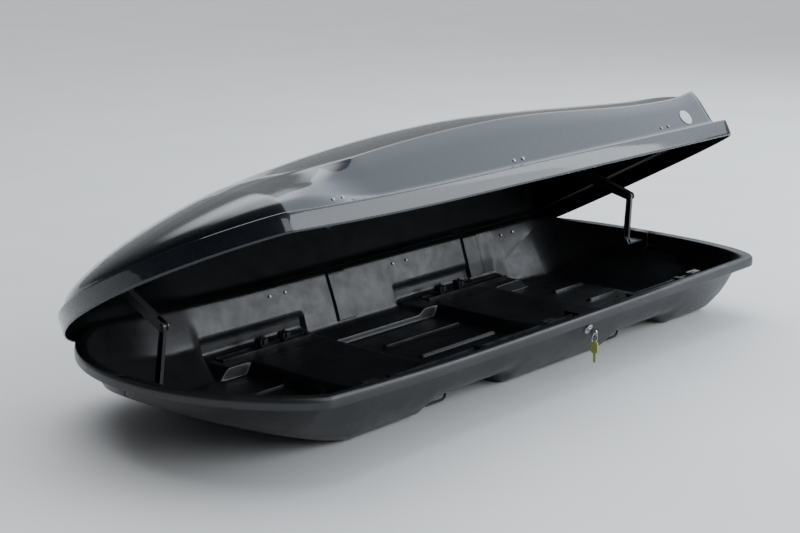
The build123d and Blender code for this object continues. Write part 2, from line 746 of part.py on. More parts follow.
cam_pin = lock_plane.from_local_coords(Vector(cam_tip, cam_tip, CAM_Z - 3))
with BuildPart() as lock_bar:
    block(-585, 692, BAR_Y0, BAR_Y1, BAR_Z0, BAR_Z1)
    block(cam_pin.X - 6, cam_pin.X + 6, BAR_Y1, cam_pin.Y + 6, BAR_Z1 - 5, BAR_Z1 - 2)
    for side in (-1, 1):
        middle = cam_pin.X + side * 4.4
        block(middle - 1.6, middle + 1.6, cam_pin.Y - 0.4, cam_pin.Y + 6, cam_pin.Z - 4.5, BAR_Z1 - 2)
keep(lock_bar.part, "lock_bar")

CATCH_Z = 148
with BuildPart() as catches:
    for catch_x in CATCH_X:
        block(catch_x - 20, catch_x + 20, BAR_Y1, BAR_Y1 + 2.5, BAR_Z0 + 2, CATCH_Z + 3)
        block(catch_x - 20, catch_x + 20, -347, BAR_Y1 + 2.5, CATCH_Z, CATCH_Z + 3)
        block(catch_x - 21, catch_x - 1, -343.3, -336.7, CATCH_Z - 1, CATCH_Z + 4, Mode.SUBTRACT)
keep(catches.part, "catches")


def against_near_wall(x, inner_y, low, high, inset=0.0):
    """Cross section of a block that fills the space between the near wall and inner_y."""
    back_low = WALL + 0.5 - wall_half(x, low)
    back_high = WALL + 0.5 - wall_half(x, high)
    return [
        (inner_y - inset, low + inset),
        (inner_y - inset, high - inset),
        (back_high - 3 * inset, high - inset),
        (back_low - 3 * inset, low + inset),
    ]


with BuildPart() as bar_guides:
    for guide_x in (-480, -200, 380, 590):
        with BuildSketch(cross_plane(guide_x - 8)):
            with BuildLine():
                Polyline(*against_near_wall(guide_x, BAR_Y1 + 4, BAR_Z0 - 4, BAR_Z1 + 3.5), close=True)
            make_face()
        extrude(amount=16)
        block(guide_x - 9, guide_x + 9, BAR_Y0 - 0.4, BAR_Y1 + 0.4, BAR_Z0 - 0.4, BAR_Z1 + 0.4, Mode.SUBTRACT)
        block(guide_x - 9, guide_x + 9, -350, BAR_Y0 - 3, BAR_Z0 - 1, BAR_Z1, Mode.SUBTRACT)
keep(bar_guides.part, "bar_guides")

BOX_HALF = 34
with BuildPart() as lock_box:
    with BuildSketch(cross_plane(LOCK_X - BOX_HALF)):
        with BuildLine():
            Polyline(*against_near_wall(LOCK_X, -306, 92, BAR_Z1 + 3.5), close=True)
        make_face()
    extrude(amount=2 * BOX_HALF)
    with BuildSketch(cross_plane(LOCK_X - BOX_HALF + 2.5)):
        with BuildLine():
            Polyline(*against_near_wall(LOCK_X, -306, 92, BAR_Z1 + 3.5, inset=2.5), close=True)
        make_face()
    extrude(amount=2 * BOX_HALF - 5, mode=Mode.SUBTRACT)
    low, high = BAR_Z0 - 1, BAR_Z1 + 0.4
    block(LOCK_X - 35, LOCK_X + 35, BAR_Y0 - 1, BAR_Y1 + 1, low, high, Mode.SUBTRACT)
keep(lock_box.part, "lock_box")

STRIKER_RIVET_Z = 188
PLATE_SHIFT = 12           # the striker's plate runs further back than its pin
PLATE_LOW, PLATE_HIGH = 174, 200


def flank_inside(x, z):
    """Clear distance from the middle of the box to the inside of the lid's flank."""
    return lid_flank_half(x, z + LID_SKIN) - LID_SKIN - 1.2


with BuildPart() as strikers:
    for striker_x in STRIKER_X:
        plate_x = striker_x + PLATE_SHIFT
        low_back = -flank_inside(plate_x + 22, PLATE_LOW)
        high_back = -flank_inside(plate_x + 22, PLATE_HIGH)
        with BuildSketch(cross_plane(plate_x - 22)) as plate:
            with BuildLine():
                Polyline(
                    (low_back, PLATE_LOW),
                    (high_back, PLATE_HIGH),
                    (high_back + 2.5, PLATE_HIGH),
                    (low_back + 2.5, PLATE_LOW),
                    close=True,
                )
            make_face()
        extrude(plate.sketch, amount=44)
        block(striker_x - 8, striker_x + 8, low_back + 1, -337.5, 174, 177)
        block(striker_x - 2.5, striker_x + 2.5, -342.5, -337.5, 146, 176)
        block(striker_x - 2.5, striker_x + 2.5, -345, -335, 140, 146.5)
keep(strikers.part, "strikers", on_lid=True)

with BuildPart() as striker_rivets:
    for striker_x in STRIKER_X:
        for rivet_x in (striker_x + PLATE_SHIFT - 16, striker_x + PLATE_SHIFT + 16):
            flank = -lid_flank_half(rivet_x, STRIKER_RIVET_Z)
            rivet((rivet_x, flank - 0.1, STRIKER_RIVET_Z), (0, -1, 0), head_radius=5, grip=7.5)
keep(striker_rivets.part, "striker_rivets", on_lid=True)

# ---------------------------------------------------------------- keys
BOW_R = 11
with BuildPart() as key:
    with BuildSketch(Plane(origin=lock_plane.origin, x_dir=lock_plane.z_dir, z_dir=(1, 0, 0)).offset(-1.1)):
        with Locations((-3, 0)):
            Rectangle(24, 7)
        with Locations((9 + BOW_R, 0)):
            Circle(BOW_R)
        with Locations((9 + BOW_R + 4.5, 0)):
            Circle(3, mode=Mode.SUBTRACT)
    extrude(amount=2.2)
keep(key.part, "key")

key_hole = lock_plane.from_local_coords(Vector(0, 0, 9 + BOW_R + 4.5))
RING_R = 11
RING_WIRE = 0.8
ring_centre = (key_hole.X, key_hole.Y, key_hole.Z - RING_R)
with BuildPart() as key_ring:
    with BuildSketch(Plane(origin=ring_centre, x_dir=(1, 0, 0), z_dir=(0, 0, 1))):
        with Locations((RING_R, 0)):
            Circle(RING_WIRE)
    revolve(axis=Axis(ring_centre, (0, 1, 0)))
keep(key_ring.part, "key_ring")

spare_hole = (key_hole.Y, key_hole.Z - 2 * RING_R)
with BuildPart() as spare_key:
    with BuildSketch(cross_plane(key_hole.X - 2)):
        with Locations((spare_hole[0], spare_hole[1] - 12)):
            RectangleRounded(20, 30, 7)
        with Locations(spare_hole):
            Circle(1.9, mode=Mode.SUBTRACT)
    extrude(amount=4)
    with BuildSketch(cross_plane(key_hole.X - 1.1)):
        with BuildLine():
            tip = spare_hole[1] - 52
            Polyline(
                (spare_hole[0] - 3.5, spare_hole[1] - 26),
                (spare_hole[0] + 3.5, spare_hole[1] - 26),
                (spare_hole[0] + 3.5, tip + 4),
                (spare_hole[0], tip),
                (spare_hole[0] - 3.5, tip + 4),
                close=True,
            )
        make_face()
    extrude(amount=2.2)
keep(spare_key.part, "spare_key")

# ---------------------------------------------------------------- badge
BADGE_X = 753
BADGE_Z = BASE_DEPTH + 70
badge_y = -lid_flank_half(BADGE_X, BADGE_Z)
badge_lean = math.atan2(lid_flank_half(BADGE_X, BADGE_Z - 10) + badge_y, 10)
facing = (0, -math.cos(badge_lean), math.sin(badge_lean))
with BuildPart() as badge:
    with BuildSketch(Plane(origin=(BADGE_X, badge_y - 0.7, BADGE_Z), x_dir=(1, 0, 0), z_dir=facing)):
        Circle(21)
    extrude(amount=1)
keep(badge.part, "badge", on_lid=True)
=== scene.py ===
import math

import bmesh
import bpy
from mathutils import Matrix, Vector


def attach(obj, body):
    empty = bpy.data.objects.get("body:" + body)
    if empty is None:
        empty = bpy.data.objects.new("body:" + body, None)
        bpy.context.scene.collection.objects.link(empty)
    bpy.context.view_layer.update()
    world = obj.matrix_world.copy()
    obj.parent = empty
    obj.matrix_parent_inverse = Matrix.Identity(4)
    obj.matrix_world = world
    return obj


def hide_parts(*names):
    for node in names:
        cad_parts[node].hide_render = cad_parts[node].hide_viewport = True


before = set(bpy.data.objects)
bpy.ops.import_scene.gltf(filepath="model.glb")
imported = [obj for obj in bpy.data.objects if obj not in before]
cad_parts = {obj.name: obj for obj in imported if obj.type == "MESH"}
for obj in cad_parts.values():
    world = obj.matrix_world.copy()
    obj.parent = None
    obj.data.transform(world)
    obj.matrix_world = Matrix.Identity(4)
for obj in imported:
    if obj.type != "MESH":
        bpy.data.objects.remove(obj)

scene = bpy.context.scene
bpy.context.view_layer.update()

# ---------------------------------------------------------------- driving dimensions (metres, degrees)
HALF_LENGTH = 0.950
HALF_WIDTH = 0.400
NOSE_START = -0.720        # the plan outline rounds off ahead of here
TAIL_START = 0.847         # and behind here
NOSE_POWER = 1.3           # how full the nose and the tail are in plan
TAIL_POWER = 2.3
SIDE_TAPER = 0.010         # how much each side comes in between nose and tail

# Base shell
BASE_DEPTH = 0.133         # underside to the lower edge of the rolled rim
RIM_HEIGHT = 0.028
RIM_OVERHANG = 0.022
RIM_TUCK = 0.008           # how far the rim's lower edge turns in
BEAD_RADIUS = 0.0125       # upper outer edge of the rim
RISE_START = -0.200        # the rim climbs from here to the nose
NOSE_RISE = 0.028
SKIN = 0.0035
WALL = 0.004
FLOOR_HALF = 0.272         # half width of the flat floor
FLOOR_CLIMBS = (           # direction, start, run, height and power of the floor's climb at each end
    (-1, 0.553, 0.397, 0.145, 1.21),
    (1, 0.820, 0.108, 0.102, 1.06),
)
FLOOR_ENDS = (             # direction, start, run, limit and power of the floor's rounding at each end
    (-1, 0.587, 0.381, 1.0, 1.76),
    (1, 0.749, 0.175, 0.975, 4),
)
FLOOR_REACH = 0.8          # the floor stays within this share of the rim's half width
BEND_HEIGHT = 0.385        # the walls bend at this share of their height
NEAR_BEND = 0.575          # and, on the opening side, this share of the way out
FAR_STEP = (0.890, 0.905)  # slope up to the hinge side's raised strip, as shares of the floor's half width
FAR_SIDE = (               # x, height of the raised strip, where the wall starts and where it bends
    (-0.950, 0.000, 0.253, 0.333),
    (-0.490, 0.000, 0.253, 0.333),
    (-0.445, 0.030, 0.343, 0.347),
    (-0.135, 0.030, 0.343, 0.347),
    (-0.100, 0.017, 0.330, 0.345),
    (0.220, 0.017, 0.330, 0.345),
    (0.250, 0.030, 0.343, 0.347),
    (0.525, 0.030, 0.343, 0.347),
    (0.640, 0.030, 0.335, 0.345),
    (0.690, 0.002, 0.300, 0.333),
    (0.950, 0.002, 0.255, 0.333),
)
FOOT_REACH = 0.90          # the wall starts within this share of the rim's half width
BEND_REACH = 0.93          # and bends within this share
LIP_REACH = 0.16           # the ledge above the bend ends this share of the way to the rim
CORNER_START = 0.690       # the slanted rear corner climbs to the rim from here
CORNER_RUN = 0.200
PLATFORM = 0.030           # height of the cross bar channels
CHANNELS = ((-0.372, -0.124, 0.030, 0.042), (0.303, 0.525, 0.031, 0.065))   # flat start and end, two ramps
CHANNEL_SKEW = 0.056       # the channels lie this much further back at the opening side
POCKETS = ((-0.445, -0.118), (0.236, 0.528))    # room for the clamps' knobs in the hinge side's wall
POCKET_DEPTH = 0.010
RIB_HEIGHT = 0.007
RIB_HALF = 0.003           # half width of a rib's flat top
RIB_Y = (0.140, 0.015, -0.110)
RIB_RUNS = ((-0.505, -0.392, -0.035), (-0.015, 0.262, 0.0), (0.680, 0.805, 0.0))   # start, end, shift in y
CROSS_RIB = (-0.392, -0.015, 0.100)             # x and the two ends in y
WALL_PANELS = ((0.005, 0.066), (0.537, 0.596))
PANEL_DEPTH = 0.007

# Lid
HINGE = Vector((0.0, 0.388, 0.121))
OPEN_ANGLE = 27.3
LID_SKIN = 0.003
LID_GAP = 0.0025           # between the rim and the lid's skirt
SKIRT_DROP = 0.010         # how far the skirt hangs below the rim's lower edge
SKIRT_TOP = 0.035
DOME_INSET = 0.007         # ledge between the skirt and the dome
DOME_NOSE = -0.943
LID_TAIL = 0.880           # rear wall of the dome
TAIL_STATION = 0.884       # station of the lid that draws that wall
CROWN_START = -0.945       # the centre line climbs from here
CROWN_TOP = 0.100          # to here, and then falls
CROWN_FOOT = 0.063
CROWN = 0.195
CROWN_POWER = 0.62
CROWN_FALL = 0.052
CROWN_FALL_RUN = 0.770
CROWN_FALL_POWER = 1.6
RIDGE_TOP = 0.030          # the two side ridges are highest here
RIDGE = 0.171
RIDGE_CURVE = 0.0975       # how fast they fall towards the nose
RIDGE_FALL = 0.036
RIDGE_FALL_RUN = 0.700
FIN_START = 0.740          # the ridges rise again to a fin from here
FIN_RISE = 0.014
FIN_RUN = 0.140
# The dome's section from its foot to the ridge, as shares of width and height
FLANK = ((1.0, 0.0), (0.945, 0.05), (0.930, 0.30), (0.905, 0.72), (0.868, 1.0))
ROOF = (0.80, 0.60, 0.35, 0.0)                  # shares of width, from the valley beside the ridge inwards
VALLEY_DEPTH = 0.008
RIDGE_BLEND = (-0.660, -0.420)                  # the plain round nose turns into ridges between these
DOME_ROUNDING = (          # radius and extra points at each corner of the dome, foot to centre line
    (0.004, 2),
    (0.010, 3),
    (0.030, 4),
    (0.030, 3),
    (0.009, 2),
    (0.012, 5),
    (0.100, 7),
    (0.100, 9),
    (0.000, 0),
)

# Mesh
ARC_STEPS = 4
END_GAPS = (0.0, 0.0004, 0.0015, 0.0035, 0.0065, 0.0105, 0.0155, 0.0215, 0.0285)   # stations near each end


# ---------------------------------------------------------------- shape of the box
def step(value, start, end):
    """Smooth change from 0 at start to 1 at end."""
    share = min(1.0, max(0.0, (value - start) / (end - start)))
    return share * share * (3 - 2 * share)


def bump(value, low, high, blend):
    """1 between low and high, fading to 0 over blend on both sides."""
    return step(value, low - blend, low) * (1 - step(value, high, high + blend))


def interpolate(x, rows, column):
    """Value of a column at x, changing smoothly from row to row."""
    for low, high in zip(rows, rows[1:]):
        if x <= high[0]:
            return low[column] + step(x, low[0], high[0]) * (high[column] - low[column])
    return rows[-1][column]


def plan_half_width(x, grow=0.0):
    """Half width of the plan outline at x, with the outline grown outwards by grow."""
    u = x * HALF_LENGTH / (HALF_LENGTH + grow)
    if u < NOSE_START:
        share = min(1.0, (NOSE_START - u) / (NOSE_START + HALF_LENGTH))
        side = HALF_WIDTH * (1 - share ** NOSE_POWER) ** 0.5
    elif u > TAIL_START:
        share = min(1.0, (u - TAIL_START) / (HALF_LENGTH - TAIL_START))
        side = (HALF_WIDTH - SIDE_TAPER) * (1 - share ** TAIL_POWER) ** (1 / TAIL_POWER)
    else:
        side = HALF_WIDTH - SIDE_TAPER * ((u - NOSE_START) / (TAIL_START - NOSE_START)) ** 2
    return side * (HALF_WIDTH + grow) / HALF_WIDTH


def rim_rise(x):
    return NOSE_RISE * (max(0.0, RISE_START - x) / (HALF_LENGTH + RISE_START)) ** 2


def floor_rise(x):
    """Climb of the floor towards the nose and the tail."""
    rise = 0.0
    for way, start, run, height, power in FLOOR_CLIMBS:
        rise += height * (max(0.0, way * x - start) / run) ** power
    return rise


def floor_half_width(x):
    half = FLOOR_HALF
    for way, start, run, limit, power in FLOOR_ENDS:
        share = min(limit, max(0.0, way * x - start) / run)
        half *= (1 - share ** power) ** 0.5
    return min(half, FLOOR_REACH * plan_half_width(x, -RIM_OVERHANG))


def channel_height(x, y=0.0):
    """Height of the cross bar channels above the flat floor."""
    x -= CHANNEL_SKEW * max(0.0, -y) / FLOOR_HALF
    for start, end, front, back in CHANNELS:
        if start - front < x < end + back:
            return PLATFORM * step(min((x - start + front) / front, (end + back - x) / back), 0, 1)
    return 0.0


def crown_height(x):
    """Height of the lid's centre line above the rim's lower edge."""
    if x < CROWN_TOP:
        share = min(1.0, max(0.0, (x - CROWN_START) / (CROWN_TOP - CROWN_START)))
        return CROWN_FOOT + CROWN * (1 - (1 - share) ** 2) ** CROWN_POWER
    return CROWN_FOOT + CROWN - CROWN_FALL * ((x - CROWN_TOP) / CROWN_FALL_RUN) ** CROWN_FALL_POWER


def ridge_height(x):
    """Height of the lid's side ridges above the rim's lower edge."""
    if x < RIDGE_TOP:
        return RIDGE - RIDGE_CURVE * (x - RIDGE_TOP) ** 2
    fall = RIDGE_FALL * math.sin(math.pi / 2 * min(1.0, (x - RIDGE_TOP) / RIDGE_FALL_RUN)) ** 2
    return RIDGE - fall + FIN_RISE * (max(0.0, x - FIN_START) / FIN_RUN) ** 2


# ---------------------------------------------------------------- mesh helpers
def arc(before, corner, after, radius):
    """Points that round a corner, from the side of before to the side of after."""
    back = before - corner
    forward = after - corner
    reach = min(radius, 0.45 * back.length, 0.45 * forward.length)
    start = corner + back.normalized() * reach
    end = corner + forward.normalized() * reach
    points = []
    for count in range(ARC_STEPS + 1):
        t = count / ARC_STEPS
        points.append(start * (1 - t) ** 2 + corner * 2 * t * (1 - t) + end * t ** 2)
    return points


def section(corners):
    """Line through corners of (point, radius, extra), with extra points on the run behind each corner."""
    points = [Vector(point) for point, radius, extra in corners]
    arcs = [[points[0]]]
    for index in range(1, len(points) - 1):
        arcs.append(arc(points[index - 1], points[index], points[index + 1], corners[index][1]))
    arcs.append([points[-1]])
    line = []
    for (point, radius, extra), here, there in zip(corners, arcs, arcs[1:]):
        line += here
        line += [here[-1].lerp(there[0], count / (extra + 1)) for count in range(1, extra + 1)]
    return line + arcs[-1]


def stations_between(start, end, pitch):
    count = max(1, round((end - start) / pitch))
    return [start + (end - start) * index / count for index in range(count + 1)]


def skin(name, rows, flip=False):
    """Mesh through rows of points, one row per station; flip turns its face to the other side."""
    mesh = bpy.data.meshes.new(name)
    width = len(rows[0])
    points = [point for row in rows for point in row]
    faces = []
    for row in range(len(rows) - 1):
        for column in range(width - 1):
            first = row * width + column
            face = (first, first + width, first + width + 1, first + 1)
            faces.append(face[::-1] if flip else face)
    mesh.from_pydata(points, [], faces)
    mesh.update()
    obj = bpy.data.objects.new(name, mesh)
    scene.collection.objects.link(obj)
    return obj


def smooth(obj, crease, merge=0.0002):
    """Merges doubled points and smooths every edge that bends less than crease degrees."""
    mesh = obj.data
    work = bmesh.new()
    work.from_mesh(mesh)
    bmesh.ops.remove_doubles(work, verts=work.verts, dist=merge)
    bmesh.ops.dissolve_degenerate(work, edges=work.edges, dist=merge / 4)
    work.to_mesh(mesh)
    work.free()
    for face in mesh.polygons:
        face.use_smooth = True
    mesh.set_sharp_from_angle(angle=math.radians(crease))


def thicken(obj, thickness):
    """Gives a skin its thickness, away from the side it faces."""
    solid = obj.modifiers.new("thickness", "SOLIDIFY")
    solid.thickness = thickness
    solid.offset = -1.0
    return solid


def open_lid(obj):
    """Swings a piece drawn with the lid shut to where the lid stands open."""
    turn = Matrix.Rotation(math.radians(-OPEN_ANGLE), 4, "X")
    obj.data.transform(Matrix.Translation(HINGE) @ turn @ Matrix.Translation(-HINGE))


def paint(obj, *materials):
    obj.data.materials.clear()
    for material in materials:
        obj.data.materials.append(material)


# ---------------------------------------------------------------- materials
def shader(name, color, roughness, metallic=0.0):
    material = bpy.data.materials.new(name)
    material.use_nodes = True
    tree = material.node_tree
    principled = tree.nodes["Principled BSDF"]
    principled.inputs["Base Color"].default_value = (*color, 1)
    principled.inputs["Roughness"].default_value = roughness
    principled.inputs["Metallic"].default_value = metallic
    return material, tree, principled


def noise(tree, scale, detail=3.0, roughness=0.5, stretch=(1, 1, 1)):
    coordinates = tree.nodes.new("ShaderNodeTexCoord")
    mapping = tree.nodes.new("ShaderNodeMapping")
    mapping.inputs["Scale"].default_value = stretch
    texture = tree.nodes.new("ShaderNodeTexNoise")
    texture.inputs["Scale"].default_value = scale
    texture.inputs["Detail"].default_value = detail
    texture.inputs["Roughness"].default_value = roughness
    tree.links.new(coordinates.outputs["Object"], mapping.inputs["Vector"])
    tree.links.new(mapping.outputs["Vector"], texture.inputs["Vector"])
    return texture.outputs["Fac"]


def ramp(tree, source, low, high, start=0.35, end=0.65):
    """Maps a 0 to 1 value to a range of values or colours."""
    if isinstance(low, tuple):
        node = tree.nodes.new("ShaderNodeValToRGB")
        node.color_ramp.elements[0].position = start
        node.color_ramp.elements[0].color = (*low, 1)
        node.color_ramp.elements[1].position = end
        node.color_ramp.elements[1].color = (*high, 1)
        tree.links.new(source, node.inputs["Fac"])
        return node.outputs["Color"]
    node = tree.nodes.new("ShaderNodeMapRange")
    node.inputs["From Min"].default_value = start
    node.inputs["From Max"].default_value = end
    node.inputs["To Min"].default_value = low
    node.inputs["To Max"].default_value = high
    tree.links.new(source, node.inputs["Value"])
    return node.outputs["Result"]


def add_bump(tree, principled, source, strength, distance, previous=None):
    node = tree.nodes.new("ShaderNodeBump")
    node.inputs["Strength"].default_value = strength
    node.inputs["Distance"].default_value = distance
    tree.links.new(source, node.inputs["Height"])
    if previous:
        tree.links.new(previous, node.inputs["Normal"])
    tree.links.new(node.outputs["Normal"], principled.inputs["Normal"])
    return node.outputs["Normal"]


def plastic(name, dark, light, gloss, matt, grain=0.25, shine=0.5):
    """Vacuum-formed or moulded plastic: fine grain, cloudy gloss, faint colour change."""
    material, tree, principled = shader(name, dark, matt)
    clouds = noise(tree, 9, 4)
    tree.links.new(ramp(tree, clouds, dark, light), principled.inputs["Base Color"])
    patches = noise(tree, 22, 5, 0.6)
    tree.links.new(ramp(tree, patches, gloss, matt), principled.inputs["Roughness"])
    waves = add_bump(tree, principled, noise(tree, 14, 2), 0.15, 0.0015)
    add_bump(tree, principled, noise(tree, 1400, 2), grain, 0.0002, waves)
    principled.inputs["Specular IOR Level"].default_value = shine
    return material


def brushed_metal(name, dark, light, gloss, matt, stretch):
    """Metal with fine scratches that run across the stretched directions."""
    material, tree, principled = shader(name, light, matt, 1.0)
    tone = noise(tree, 30, 4)
    tree.links.new(ramp(tree, tone, dark, light), principled.inputs["Base Color"])
    scratches = noise(tree, 300, 3, 0.6, stretch)
    tree.links.new(ramp(tree, scratches, gloss, matt, 0.3, 0.7), principled.inputs["Roughness"])
    add_bump(tree, principled, scratches, 0.2, 0.0002)
    return material


def painted_side_light_metal(name, face, painted_highlight_grey, rough):
    """Black faces and a painted highlight in grey where the surface turns away from X, told apart by how far
    it faces along X; noise adds random mottling.
    """
    material, tree, principled = shader(name, face, rough, 0.45)
    geometry = tree.nodes.new("ShaderNodeNewGeometry")
    split = tree.nodes.new("ShaderNodeSeparateXYZ")
    size = tree.nodes.new("ShaderNodeMath")
    size.operation = "ABSOLUTE"
    tree.links.new(geometry.outputs["Normal"], split.inputs["Vector"])
    tree.links.new(split.outputs["X"], size.inputs[0])
    wear = noise(tree, 90, 4, 0.6)
    # Painted light: how far the surface faces along X, plus a little random noise, picks between the black
    # and the grey painted highlight.
    facing_light_and_wear = tree.nodes.new("ShaderNodeMath")
    facing_light_and_wear.operation = "MULTIPLY_ADD"
    facing_light_and_wear.inputs[1].default_value = 0.25
    tree.links.new(wear, facing_light_and_wear.inputs[0])
    tree.links.new(size.outputs["Value"], facing_light_and_wear.inputs[2])
    tree.links.new(ramp(tree, facing_light_and_wear.outputs["Value"], painted_highlight_grey, face, 0.55, 0.85), principled.inputs["Base Color"])
    tree.links.new(ramp(tree, wear, rough - 0.08, rough + 0.08), principled.inputs["Roughness"])
    add_bump(tree, principled, noise(tree, 500, 3), 0.2, 0.0002)
    return material


def gloss_skin(name, dark, light):
    """Deep gloss outer skin: a dark colour under a clear cap, with very faint waves from forming."""
    material, tree, principled = shader(name, light, 0.3)
    clouds = noise(tree, 3, 3)
    tree.links.new(ramp(tree, clouds, dark, light), principled.inputs["Base Color"])
    dust = noise(tree, 60, 6, 0.7)
    tree.links.new(ramp(tree, dust, 0.22, 0.34), principled.inputs["Roughness"])
    add_bump(tree, principled, noise(tree, 9, 2), 0.05, 0.002)
    principled.inputs["Specular IOR Level"].default_value = 0.15
    principled.inputs["Coat Weight"].default_value = 1.0
    principled.inputs["Coat Roughness"].default_value = 0.05
    principled.inputs["Coat IOR"].default_value = 1.5
    return material


base_plastic = plastic("base_plastic", (0.013, 0.0138, 0.0155), (0.021, 0.022, 0.0245), 0.27, 0.38, 0.2)
lid_inside = plastic(
    "lid_inside", (0.002, 0.0022, 0.0026), (0.004, 0.0044, 0.005), 0.52, 0.60, shine=0.12
)
black_plastic = plastic("black_plastic", (0.008, 0.008, 0.009), (0.016, 0.016, 0.017), 0.32, 0.5, 0.5)
yellow_plastic = plastic("yellow_plastic", (0.36, 0.38, 0.08), (0.46, 0.47, 0.12), 0.3, 0.45, 0.3)
white_vinyl = plastic("white_vinyl", (0.62, 0.64, 0.66), (0.74, 0.75, 0.76), 0.15, 0.3, 0.1)
zinc_steel = brushed_metal("zinc_steel", (0.16, 0.165, 0.17), (0.30, 0.31, 0.32), 0.3, 0.5, (1, 8, 8))
bright_steel = brushed_metal("bright_steel", (0.5, 0.5, 0.51), (0.75, 0.75, 0.76), 0.12, 0.3, (6, 1, 6))
dark_steel = brushed_metal("dark_steel", (0.03, 0.031, 0.033), (0.07, 0.072, 0.075), 0.35, 0.55, (1, 8, 8))
# The stays' grey (0.11) is a painted highlight on surfaces that turn away from X; the black is the metal's
# own colour.
stay_steel = painted_side_light_metal("stay_steel", (0.030, 0.031, 0.034), (0.11, 0.112, 0.115), 0.42)
lid_gloss = gloss_skin("lid_gloss", (0.006, 0.008, 0.012), (0.010, 0.013, 0.018))


# ---------------------------------------------------------------- base shell
def floor_relief(x, y):
    """Stiffening ribs pressed into the floor."""
    height = 0.0
    for start, end, shift in RIB_RUNS:
        for rib_y in RIB_Y:
            middle = rib_y + shift
            height += bump(x, start, end, 0.008) * bump(y, middle - RIB_HALF, middle + RIB_HALF, 0.007)
    cross_x, cross_start, cross_end = CROSS_RIB
    height += bump(x, cross_x - RIB_HALF, cross_x + RIB_HALF, 0.006) * bump(y, cross_start, cross_end, 0.008)
    return RIB_HEIGHT * min(1.0, height)


def wall_relief(x, z, foot, top):
    """Upright stiffening panels on the hinge-side wall."""
    depth = 0.0
    for start, end in WALL_PANELS:
        depth += PANEL_DEPTH * bump(x, start, end, 0.004) * bump(z, foot + 0.010, top - 0.006, 0.006)
    return depth


def base_row(x):
    """Inner face of the base at x, from the opening side's rim to the hinge side's."""
    shape_x = x * (HALF_LENGTH - RIM_OVERHANG) / HALF_LENGTH
    inner_x = x * (HALF_LENGTH - RIM_OVERHANG - WALL) / HALF_LENGTH
    tuck_x = x * (HALF_LENGTH - RIM_TUCK) / HALF_LENGTH
    rise = rim_rise(x)
    rim = plan_half_width(x)
    tuck = plan_half_width(tuck_x, -RIM_TUCK)
    low = BASE_DEPTH + rise + 0.0005
    high = BASE_DEPTH + RIM_HEIGHT + rise
    floor = floor_rise(shape_x) + SKIN
    bend = floor + BEND_HEIGHT * (high - 0.002 - floor)
    half = max(0.0, floor_half_width(shape_x) - WALL)
    scale = half / FLOOR_HALF
    top_half = max(0.0, plan_half_width(shape_x, -RIM_OVERHANG) - WALL)

    # The opening side's wall bends once; the hinge side has a strip, pockets and a slanted rear corner.
    near_bend = half + NEAR_BEND * (top_half - half)
    far_floor = floor + max(channel_height(shape_x) + 0.0006, interpolate(shape_x, FAR_SIDE, 1))
    far_foot = min(interpolate(shape_x, FAR_SIDE, 2) * scale, FOOT_REACH * top_half)
    far_bend = max(min(interpolate(shape_x, FAR_SIDE, 3) * scale, BEND_REACH * top_half), far_foot + 0.002)
    far_height = bend + 0.004
    climb = min(1.0, max(0.0, shape_x - CORNER_START) / CORNER_RUN)
    far_bend += climb * BEND_REACH * (top_half - far_bend)
    far_height += climb * BEND_REACH * (high - 0.003 - far_height)
    share = LIP_REACH * (1 - climb)
    lip = far_bend + share * (top_half - far_bend)
    lip_height = far_height + share * (high - far_height)
    pocket = POCKET_DEPTH * sum(bump(shape_x, start, end, 0.010) for start, end in POCKETS)
    far_bend += pocket
    far_foot += pocket

    row = section([
        ((tuck_x, -tuck, low), 0, 0),
        ((x, -rim, low), 0.012, 0),
        ((x, -rim, high), BEAD_RADIUS, 0),
        ((inner_x, -top_half - 0.002, high - 0.003), 0.005, 9),
        ((inner_x, -near_bend, bend), 0.050, 6),
        ((inner_x, -half, floor + channel_height(shape_x, -half)), 0.022, 150),
        ((inner_x, FAR_STEP[0] * half, floor + channel_height(shape_x)), 0.004, 1),
        ((inner_x, FAR_STEP[1] * half, far_floor), 0.004, 10),
        ((inner_x, far_foot, far_floor), 0.012, 6),
        ((inner_x, far_bend, far_height), 0.006, 1),
        ((inner_x, lip, lip_height), 0.006, 12),
        ((inner_x, top_half + 0.002, high - 0.003), 0.005, 0),
        ((x, rim, high), BEAD_RADIUS, 0),
        ((x, rim, low), 0.012, 0),
        ((tuck_x, tuck, low), 0, 0),
    ])
    for point in row:
        if -half + 0.022 < point.y < 0.885 * half:
            point.z = floor + channel_height(shape_x, point.y) + floor_relief(shape_x, point.y)
        elif point.y > far_foot + 0.004:
            point.y -= wall_relief(shape_x, point.z, far_floor, high)
    return row


def build_base():
    stations = [-HALF_LENGTH + gap for gap in END_GAPS]
    stations += stations_between(-HALF_LENGTH + 0.0365, HALF_LENGTH - 0.0365, 0.0055)
    stations += [HALF_LENGTH - gap for gap in reversed(END_GAPS)]
    shell = skin("base_skin", [base_row(x) for x in stations])
    smooth(shell, 30)
    paint(shell, base_plastic)
    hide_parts("base_shell")
    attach(shell, "base")
    thicken(shell, SKIN)


# ---------------------------------------------------------------- lid
def dome_half_profile(x):
    """Corners of the dome's section at x as (y, z), from its foot to the centre line."""
    half = plan_half_width(x, -DOME_INSET)
    foot = SKIRT_TOP - 0.002 + rim_rise(x)
    crown = max(crown_height(x), foot + 0.002)
    ridge = max(min(ridge_height(x), crown), foot + 0.001)
    valley = ridge - VALLEY_DEPTH
    ridged = [(share * half, foot + rise * (ridge - foot)) for share, rise in FLANK]
    for share in ROOF:
        ridged.append((share * half, crown - (crown - valley) * (share / ROOF[0]) ** 2))
    ridged_share = step(x, *RIDGE_BLEND)
    corners = []
    for index, (ridged_y, ridged_z) in enumerate(ridged):
        angle = math.radians(90 * index / (len(ridged) - 1))
        round_y = half * math.cos(angle)
        round_z = foot + (crown - foot) * math.sin(angle)
        y = round_y + ridged_share * (ridged_y - round_y)
        z = round_z + ridged_share * (ridged_z - round_z)
        corners.append((y, BASE_DEPTH + z))
    return corners


